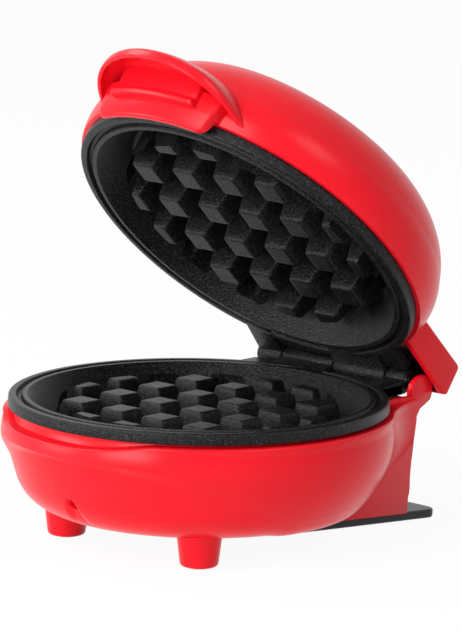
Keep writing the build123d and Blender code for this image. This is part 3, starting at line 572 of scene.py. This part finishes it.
def web():
    """Cast web that fills from the rim to the hinge's barrel."""
    xs = [-knuckle_outer + 2 * knuckle_outer * i / 24 for i in range(25)]
    rear = hinge_reach - knuckle_r - 0.4
    sections = []
    for x in xs:
        front = rim_arc(x)
        corners = [(front, -rim_face, 0), (rear, -rim_face, 0.5), (rear, arm_top, 0.5), (front, arm_top, 0)]
        sections.append(at_x(x, rounded_path(corners, closed=True)))
    return loft(sections)


def knuckle(start, end):
    """One knuckle of the hinge with its arm, on a plate whose rim plane is z = 0."""
    mid_y, mid_z = hinge_reach, lid_gap / 2
    turns = [radians(-100 + 10 * i) for i in range(28)]
    root = rim_arc(max(abs(start), abs(end)))
    edge = 0.3
    rows = []
    for x, inset in ((start, edge), (start + edge, 0), (end - edge, 0), (end, edge)):
        r = knuckle_r - inset
        barrel = [(mid_y + r * cos(a), mid_z + r * sin(a)) for a in turns]
        arm = [(root, arm_top - inset), (root, -rim_face + inset), (hinge_reach - 2.5, -rim_face + inset)]
        rows.append(at_x(x, barrel + arm))
    return loft(rows)


def cast_plate(name, place, body, tree, block, seams):
    """One plate in its place: disc, field of blocks, web and its two knuckles, parted at the seams."""
    shaped(f"{name}_disc", plate_disc(), place, body, "nonstick_aluminium", stands_for=[name])
    field = grown(f"{name}_blocks", tree, place @ Matrix.Translation((0, 0, -cavity_depth)),
                  Block=block, Finish=FINISHES["nonstick_aluminium"])
    piece(f"{name}_blocks", field, body, "nonstick_aluminium")
    shaped(f"{name}_web", web(), place, body, "nonstick_aluminium")
    knuckles = merged(knuckle(seams[0] + seam, seams[1] - seam), knuckle(seams[2] + seam, knuckle_outer))
    shaped(f"{name}_knuckles", knuckles, place, body, "nonstick_aluminium", sharp=50)


# ---------------------------------------------------------------- lower housing
bowl_profile = (
    arc_through((43.0, bowl_floor_z), (51.95, 12.65), (56.9, 19.4), 24)
    + arc_through((56.9, 19.4), (59.85, 30.15), (bowl_top_r, shoulder_z), 24)[1:]
)
bowl_by_height = [(z, r) for r, z in bowl_profile]


def shoulder_height(turn):
    """Height of the bowl's shoulder, which dips at the front under the lid's tab: it stays low on the
    left up to a short rise, and comes up slowly on the right."""
    if turn < 0:
        share = 1 - ease(radians(35), radians(47), -turn)
    else:
        share = max(0.0, 1 - (bowl_top_r * sin(min(turn, pi / 2)) / 30.0) ** 2)
    return shoulder_z - 2.8 * share


def wall_radius(turn, z):
    """Radius of the bowl's outer wall at an angle from the front: a proud band over the bowl's round."""
    side = abs(turn)
    bowl = value_at(bowl_by_height, z)
    brow_edge = brow_arch_z - 6.0 * (min(side, radians(75)) / radians(47)) ** 3
    soft = 0.9 + 3.6 * ease(radians(10), radians(50), side)
    top = bowl_top_r + 1.2 * max(0.0, cos(side)) ** 3
    swell = top - (0.02 if z < brow_top_z else 0.028) * (z - brow_top_z) ** 2
    proud = ease(brow_edge - soft, brow_edge + soft, z)
    radius = bowl + (max(swell, bowl) - bowl) * proud
    return blended(pi - side, z, radius) if side > pi / 2 else radius


def tower_rear(z):
    """Where the tower's rear face is at a height: it leans back up to the cheek."""
    return value_at([(4.0, tower_foot_y), (34.0, tower_head_y)], z)


def blended(turn, z, radius):
    """Radius at an angle from the rear where the wall runs into the tower's side, along a hollow
    fillet that is so wide at the top that it reaches the tower's rear, and dies out lower down."""
    fillet = 0.4 + 47.6 * ease(9, 38, z)
    mid_x = tower_half + fillet
    mid_y = sqrt((radius + fillet) ** 2 - mid_x**2)
    if turn >= atan2(mid_x, mid_y):
        return radius
    rear = tower_rear(z) - 0.06
    end_y = min(rear, mid_y)
    end_x = mid_x - sqrt(fillet**2 - (mid_y - end_y) ** 2)
    if turn > atan2(end_x, end_y):
        along = mid_x * sin(turn) + mid_y * cos(turn)
        return along - sqrt(along**2 - (radius + fillet) ** 2 + fillet**2)
    return min((end_x - 0.04) / max(sin(turn), 1e-6), rear / cos(turn))


def keyhole_depth(x, z):
    """Depth of the cord's keyhole in the front wall: a round hole over a slot that flares downwards."""
    hole = 4.2 * (1 - ease(1.3, 2.1, hypot(x, z - keyhole_z)))
    flare = 1.4 + (keyhole_z - z) * 0.3
    deep = 1.7 * ease(10.5, 17.0, z) * (1 - ease(17.5, 19.4, z))
    slot = deep * (1 - ease(flare - 1.2, flare + 1.6, abs(x)))
    return max(hole, slot)


def bowl_turns():
    """Angles of the bowl's columns from the front, closer together at the keyhole and where the hollow
    fillets end at the tower's sides."""
    turns = [radians(a) for a in range(-180, 180, 2) if abs(a) > 8 and not 142 <= abs(a) <= 154]
    turns += [side * radians(142 + 0.5 * i) for side in (-1, 1) for i in range(25)]
    turns += [radians(a * 0.25) for a in range(-34, 35)]
    return sorted(turns)


def outside_spot(r, turn, z):
    """Point of the bowl's outside, sunk where the keyhole is cut."""
    if abs(turn) < keyhole_half:
        r -= keyhole_depth(r * sin(turn), z)
    return r * sin(turn), -r * cos(turn), z


def bowl_rows():
    """Rows of the bowl's skin from the collar's top down the outside to the middle of the floor, and up
    the inside."""
    turns = bowl_turns()
    rows = [[outside_spot(collar_r, turn, z) for turn in turns] for z in (41.8, 41.2)]
    # shoulder: fillet at the collar, flat ledge, round over the edge
    for out, drop in ((0.0, 0.0), (0.15, 0.2), (0.4, 0.3)):
        rows.append([outside_spot(collar_r + out, t, shoulder_height(t) + 0.3 - drop) for t in turns])
    for step in range(9):
        a = pi / 2 * step / 8
        row = []
        for turn in turns:
            top = shoulder_height(turn)
            r = wall_radius(turn, top - shoulder_edge) - shoulder_edge * (1 - sin(a))
            row.append(outside_spot(r, turn, top - shoulder_edge * (1 - cos(a))))
        rows.append(row)
    steps = 96
    for step in range(1, steps + 1):
        row = []
        for turn in turns:
            top = shoulder_height(turn) - shoulder_edge
            z = top + (bowl_floor_z - top) * step / steps
            row.append(outside_spot(wall_radius(turn, z), turn, z))
        rows.append(row)
    floor_r = bowl_profile[0][0]
    flat_rings = [(floor_r * share, bowl_floor_z) for share in (0.93, 0.86, 0.7, 0.35, 0.0)]
    # inside: the floor and the wall under the plate
    inner_floor_z = bowl_floor_z + shell_wall
    inner_rings = [(0, inner_floor_z), (40, inner_floor_z), (53, 20), (56, 30), (55.6, 36), (55.6, 41.8)]
    for r, z in flat_rings + inner_rings:
        rows.append([(r * sin(t), -r * cos(t), z) for t in turns])
    return rows


def stand_top(y):
    """Height of the tilted stand's upper face."""
    return (stand_rear_y - y) * tan(stand_tilt) + stand_thickness / cos(stand_tilt)


def tower_form():
    """Square tower behind the bowl, with a cheek on its right that covers the end of the hinge."""
    cheek_y, cheek_z, cheek_r, ledge_z = 66.4, 43.2, 5.0, 42.1
    reach = sqrt(cheek_r**2 - (ledge_z - cheek_z) ** 2)
    over = arc_through((70.4, 40.3), (cheek_y, cheek_z + cheek_r), (cheek_y - reach, ledge_z), 20)

    def outline(x, edge):
        """Side outline at x, the cheek's beyond its inner face, else the tower's. It is drawn in by edge."""
        on_cheek = x > cheek_inner - 0.5
        front = sqrt(53.0**2 - min(abs(x), tower_half) ** 2)
        shape = [(front, 22.0), (24.0, 12.2)]
        shape += [(y, stand_top(y) - 0.3) for y in (24.0, tower_foot_y)]
        shape += [(tower_head_y, 34.0), (65.5 if on_cheek else tower_head_y, 37.9)]
        shape += over if on_cheek else [(min(y, tower_head_y), tower_top_z) for y, z in over]
        shape += [(51.5, ledge_z if on_cheek else tower_top_z), (front, 40.2)]
        return [(y - edge * (y > 56.0), z - edge * (z > 30.0)) for y, z in shape]

    sides = [(-tower_half, 0.6), (-tower_half + 0.2, 0.2), (-tower_half + 0.6, 0.0)]
    xs = sides + [(-tower_half + 0.6 + 4.25 * i, 0.0) for i in range(1, 16)]
    face = ((-0.51, 0.0), (-0.49, 0.7), (-0.2, 0.25), (0.3, 0.0))
    xs += [(cheek_inner + out, edge) for out, edge in face]
    xs += [(-x, edge) for x, edge in reversed(sides)]
    return loft([at_x(x, outline(x, edge)) for x, edge in xs])


def foot_form(x):
    """Tapered foot that grows out of the bowl's underside."""
    profile = rounded_path([(0, 0.3, 0), (5.9, 0.3, 1.2), (7.75, 15.5, 0), (0, 15.5, 0)])
    points, faces = lathe(profile, 96)
    return [(px + x, py - foot_y, pz) for px, py, pz in points], faces


def lower_housing():
    """Bowl, tower and front feet of the base."""
    shaped("bowl_shell", skin(bowl_rows(), wrap=True), base_place, "base", "red_abs",
           sharp=60, stands_for=["lower_housing"])
    shaped("tower_shell", tower_form(), base_place, "base", "red_abs", sharp=50)
    shaped("front_feet", merged(foot_form(-foot_x), foot_form(foot_x)), base_place, "base", "red_abs")


def rear_stand():
    """Thin plate that tilts down to the table at its rear end."""
    length = (stand_rear_y - stand_front_y) / cos(stand_tilt)
    corners = [(side * stand_half, y, 5) for side, y in ((-1, 0), (1, 0), (1, -length), (-1, -length))]
    outline = rounded_path(corners, closed=True, steps=8)
    form = loft([[(x, y, z) for x, y in outline] for z in (0, stand_thickness)])
    place = base_place @ Matrix.Translation((0, stand_rear_y, 0)) @ Matrix.Rotation(-stand_tilt, 4, "X")
    shaped("rear_stand_plate", form, place, "base", "black_plastic", bevel=0.7, stands_for=["rear_stand"])


# ---------------------------------------------------------------- lid
def lid_dome():
    """Domed shell: upright side, round shoulder, and a flatter cap beyond a soft crease."""
    side = arc_through((61.3, rim_face), (62.35, 10.0), (60.4, 18.0), 16)
    shoulder = arc_through((60.4, 18.0), (56.6, 25.2), (50.2, 31.2), 16)[1:]
    cap_rise = dome_height - 31.9
    sphere = (48.9**2 + cap_rise**2) / 2 / cap_rise
    radii = [48.3, 47.0, 45.0, 42.0] + [38.0 - 2 * i for i in range(20)]
    cap = [(r, dome_height - sphere + sqrt(sphere**2 - r * r)) for r in radii]
    inner = [(0, dome_height - shell_wall), (30, 34.8), (46.5, 30.0), (54.0, 23.4)]
    inner += [(58.0, 17.0), (59.6, 10.0), (59.1, rim_face)]
    lip = [(60.9, rim_face)]
    return lathe(side + shoulder + cap + inner + lip, 256, wrap=True)


def rear_box():
    """Box at the back of the lid: end walls, roof and rear wall, open below and towards the hinge."""
    full = [(44.0, 13.5, 0.05), (74.3, 13.5, 1.8), (76.0, 3.3, 1.1), (74.3, 2.25, 0.4), (62, 2.9, 0.4),
            (44.0, 3.5, 0.05)]
    hollow = full[:4] + [(72.6, 11.0, 0.4), (44.0, 11.0, 0.05)]

    ends = [at_x(x, outline) for x, outline in bar(full, -box_left, box_right, 0.9)]
    left, right = -box_left + box_side_wall, box_right - box_side_wall
    stations = ((left, full), (left, hollow), (right, hollow), (right, full))
    walls = [at_x(x, rounded_path(corners, closed=True)) for x, corners in stations]
    return loft(ends[:5] + walls + ends[5:])


def box_shade_sheet():
    """Thin black sheet along the inside of the box's roof, rear wall and left end: painted shade that darkens the
    box's hollow.
    """
    full = [(45.0, 10.95, 0.05), (72.45, 10.95, 0.3), (74.1, 3.0, 0.05), (74.0, 2.9, 0.05), (62, 3.3, 0.05),
            (45.0, 3.9, 0.05)]
    sheet = full[:4] + [(72.1, 10.6, 0.3), (45.0, 10.6, 0.05)]
    left, right = -box_left + box_side_wall, box_right - box_side_wall
    stations = ((left + 0.05, full), (left + 0.35, full), (left + 0.36, sheet), (right - 0.05, sheet))
    return loft([at_x(x, rounded_path(corners, closed=True)) for x, corners in stations])


def tab_face(h):
    """Radius of the tab's front face at a height."""
    return value_at([(-2.3, 64.2), (0.5, 65.2), (3.5, 65.7), (10.5, 66.1)], h)


def tab_back(h):
    """Radius of the tab's inner face, which hangs in front of the plate and runs into the dome above."""
    return value_at([(3.2, 62.5), (4.2, 60.0)], h)


def tab_form():
    """Downturned tab at the lid's front, its lower corners round and its front edges eased."""
    corners = [(-24.6, 10.6, 0.4), (-21.9, -2.3, 3.2), (21.9, -2.3, 3.2), (24.6, 10.6, 0.4)]
    edge = 0.7
    rings = []

    def ring(inset, share, depth):
        """Ring round the tab, drawn in by inset or shrunk to a share, at the radius that depth gives."""
        outline = rounded_path(drawn_in(corners, inset), closed=True, steps=8)
        placed = []
        for x, h in filled_in(outline, 6, 16):
            x, h = x * share, 4 + (h - 4) * share
            r = depth(h)
            placed.append((x, -sqrt(r * r - x * x), h))
        return placed

    for share in (0.02, 0.4, 0.8):
        rings.append(ring(0, share, tab_back))
    rings.append(ring(0.3, 1, tab_back))
    rings.append(ring(0, 1, lambda h: tab_back(h) + 0.3))
    for step in range(6):
        a = pi / 2 * step / 5
        rings.append(ring(edge * (1 - cos(a)), 1, lambda h: tab_face(h) - edge * (1 - sin(a))))
    for share in (0.9, 0.7, 0.45, 0.2, 0.02):
        rings.append(ring(edge, share, tab_face))
    return loft(rings)


def grip_form():
    """Wall under the hood that the fingertips pull on, with a rounded ridge along its foot."""
    corners = [(59.6, 3.5, 0.05), (67.9, 3.5, 0.5), (68.7, 4.5, 0.7), (67.9, 5.9, 0.55), (67.2, 6.3, 0.3),
               (68.6, 13.4, 0.4), (59.6, 14.6, 0.05)]
    rows = []
    for x, outline in bar(corners, -17.2, 17.2, 0.6, pieces=24):
        lean = [(x * (1 - 0.004 * (h - 3.5)), r, h) for r, h in outline]
        rows.append([(across, -sqrt(r * r - across**2), h) for across, r, h in lean])
    return loft(rows)


def hood_form():
    """Hood over the grip: a rounded U in plan with a thin rim, its top part of a ball, open below."""
    ball_y, ball_z, ball_r = hood_ball
    power = 2 / 2.1

    turns = [pi / 2 * k / 4 for k in range(5)]

    def rib(a):
        """Section of the hood from its rim towards the middle of its outline, at an angle of the U."""
        side = 1 if cos(a) > 0 else -1
        out = Vector((hood_half * abs(cos(a)) ** power * side, -hood_reach * sin(a) ** power))
        forward = -out.y / hood_reach
        low = 5.0 + 4.6 * forward
        flare = 1.5 * (1 - ease(0.02, 0.22, forward))
        out.x *= 1 + flare / hood_half
        aim = out.normalized()
        rim = 1.5 + flare

        def at(q, h):
            """Point q inside the outline at height h."""
            spot = out - aim * q
            return spot.x, spot.y - hood_y, h

        def top(q, r=ball_r):
            """Height of the ball q inside the outline, lower towards the hood's two ends."""
            x, y, _ = at(q, 0)
            drop = 0.03 * max(0.0, abs(x) - 19.0) ** 2
            return ball_z + sqrt(max(r * r - x * x - (y + ball_y) ** 2, 0)) - drop

        section = [at(rim - 0.5 * (1 - cos(t)), low + 0.5 * (1 - sin(t))) for t in turns]
        section += [at(0.4 * (1 - sin(t)), low + 0.4 * (1 - cos(t))) for t in turns]
        section += [at(1.0 * (1 - cos(t)), top(1.0 * (1 - cos(t))) - 0.8 * (1 - sin(t))) for t in turns]
        reach = out.length * 0.7
        deep = [1.0 + (reach - 1.0) * k / 14 for k in range(1, 15)]
        section += [at(q, top(q)) for q in deep]
        under = [reach - (reach - rim - 0.1) * k / 12 for k in range(13)]
        section += [at(q, max(min(top(q, hood_ceiling_r), hood_ceiling), low + 0.55)) for q in under]
        return section

    return loft([rib(pi * i / 96) for i in range(97)])


def lid_housing():
    """Dome, rear box with a black sheet of painted shade in its hollow, tab, grip and hood of the lid."""
    shaped("lid_dome", lid_dome(), lid_place, "lid", "red_abs", sharp=50, stands_for=["lid_housing"])
    shaped("lid_rear_box", rear_box(), lid_place, "lid", "red_abs", sharp=50)
    # black sheet inside the box: painted shade for the dark of the box's hollow, not a real part
    shaped("lid_box_lining", box_shade_sheet(), lid_place, "lid", "black_plastic", sharp=50)
    shaped("lid_tab", tab_form(), lid_place, "lid", "red_abs", sharp=50)
    shaped("lid_grip", grip_form(), lid_place, "lid", "red_abs", sharp=50)
    shaped("lid_hood", hood_form(), lid_place, "lid", "red_abs", sharp=50, stands_for=["lid_handle"])


# ---------------------------------------------------------------- studio
def ray_sees_white(tree):
    """1 for rays from the camera, in a reflection or through something clear, else 0."""
    ray = add(tree, "ShaderNodeLightPath").outputs
    direct = {0: ray["Is Camera Ray"], 1: ray["Is Transmission Ray"]}
    seen = add(tree, "ShaderNodeMath", direct, operation="MAXIMUM").outputs[0]
    return add(tree, "ShaderNodeMath", {0: seen, 1: ray["Is Glossy Ray"]}, operation="MAXIMUM").outputs[0]


def studio():
    """White surround that fills the view and the reflections, and a floor that keeps some shadow."""
    world = bpy.data.worlds.new("studio")
    bpy.context.scene.world = world
    world.use_nodes = True
    tree = world.node_tree
    tree.nodes.clear()
    levels = {"Value": ray_sees_white(tree), "To Min": 0.28, "To Max": 1.0}
    strength = add(tree, "ShaderNodeMapRange", levels).outputs["Result"]
    light = add(tree, "ShaderNodeBackground", {"Color": (1, 1, 1, 1), "Strength": strength})
    add(tree, "ShaderNodeOutputWorld", {"Surface": light.outputs[0]})

    floor_mesh = bpy.data.meshes.new("studio_floor")
    half = 4.0
    corners = [(-half, -half, 0), (half, -half, 0), (half, half, 0), (-half, half, 0)]
    floor_mesh.from_pydata(corners, [], [(0, 1, 2, 3)])
    paper = bpy.data.materials.new("white paper")
    paper.use_nodes = True
    tree = paper.node_tree
    tree.nodes.clear()
    matte = add(tree, "ShaderNodeBsdfDiffuse", {"Color": (0.95, 0.95, 0.95, 1)})
    glow = add(tree, "ShaderNodeEmission", {"Color": (1, 1, 1, 1), "Strength": 1.0})
    # just under 1, so that the floor keeps some of the maker's shadow
    share = add(tree, "ShaderNodeMath", {0: ray_sees_white(tree), 1: 0.94}, operation="MULTIPLY")
    mix = add(tree, "ShaderNodeMixShader", {0: share.outputs[0], 1: matte.outputs[0], 2: glow.outputs[0]})
    add(tree, "ShaderNodeOutputMaterial", {"Surface": mix.outputs[0]})
    floor_mesh.materials.append(paper)
    floor = bpy.data.objects.new("studio_floor", floor_mesh)
    bpy.context.scene.collection.objects.link(floor)


def softbox(name, place, width, height, power):
    """Rectangular lamp that faces the middle of the maker."""
    lamp = bpy.data.lights.new(name, "AREA")
    lamp.shape = "RECTANGLE"
    lamp.size, lamp.size_y = width, height
    lamp.energy = power
    box = bpy.data.objects.new(name, lamp)
    bpy.context.scene.collection.objects.link(box)
    box.location = place
    aim = Vector((0, 0, 0.08)) - Vector(place)
    box.rotation_euler = aim.to_track_quat("-Z", "Y").to_euler()


def camera():
    """Long lens at the maker's near right, slightly above it."""
    bearing, rise, roll = radians(42.526), radians(10.61), radians(1.17)
    right = Vector((cos(bearing), sin(bearing), 0))
    back = Vector((sin(bearing) * cos(rise), -cos(bearing) * cos(rise), sin(rise)))
    up = back.cross(right)
    right, up = right * cos(roll) + up * sin(roll), up * cos(roll) - right * sin(roll)
    target = Vector((7.03, axis_y + 6.45, 70.47)) * MM
    place = Matrix((right, up, back)).transposed().to_4x4()
    place.translation = target + back * 1.4
    lens = bpy.data.cameras.new("camera")
    lens.lens = 254.6
    lens.sensor_width = 36.0
    viewer = bpy.data.objects.new("camera", lens)
    bpy.context.scene.collection.objects.link(viewer)
    viewer.matrix_world = place
    bpy.context.scene.camera = viewer


def build():
    """Dresses the CAD nodes that stay and makes every other piece."""
    dress_cad_nodes()
    tree = block_field_tree()
    block = bpy.data.objects.new("waffle_block", block_mesh())
    cast_plate("lower_plate", lower_plate_place, "base", tree, block, knuckle_seams)
    facing = [-x for x in reversed(knuckle_seams)]
    cast_plate("upper_plate", upper_plate_place, "lid", tree, block, facing)
    bpy.data.objects.remove(block)
    lower_housing()
    rear_stand()
    lid_housing()


bpy.context.scene.view_settings.view_transform = "Standard"
build()
studio()
softbox("key", (0.05, -1.15, 1.15), 0.8, 0.8, 15)
softbox("front_low", (0.1, -1.5, 0.35), 0.8, 0.4, 10)
softbox("front_left", (-0.95, -1.05, 0.3), 0.5, 0.5, 7)
softbox("right_high", (0.95, 0.05, 1.15), 0.5, 0.5, 3)
softbox("left_high", (-0.9, -0.1, 1.0), 0.4, 0.4, 4)
camera()
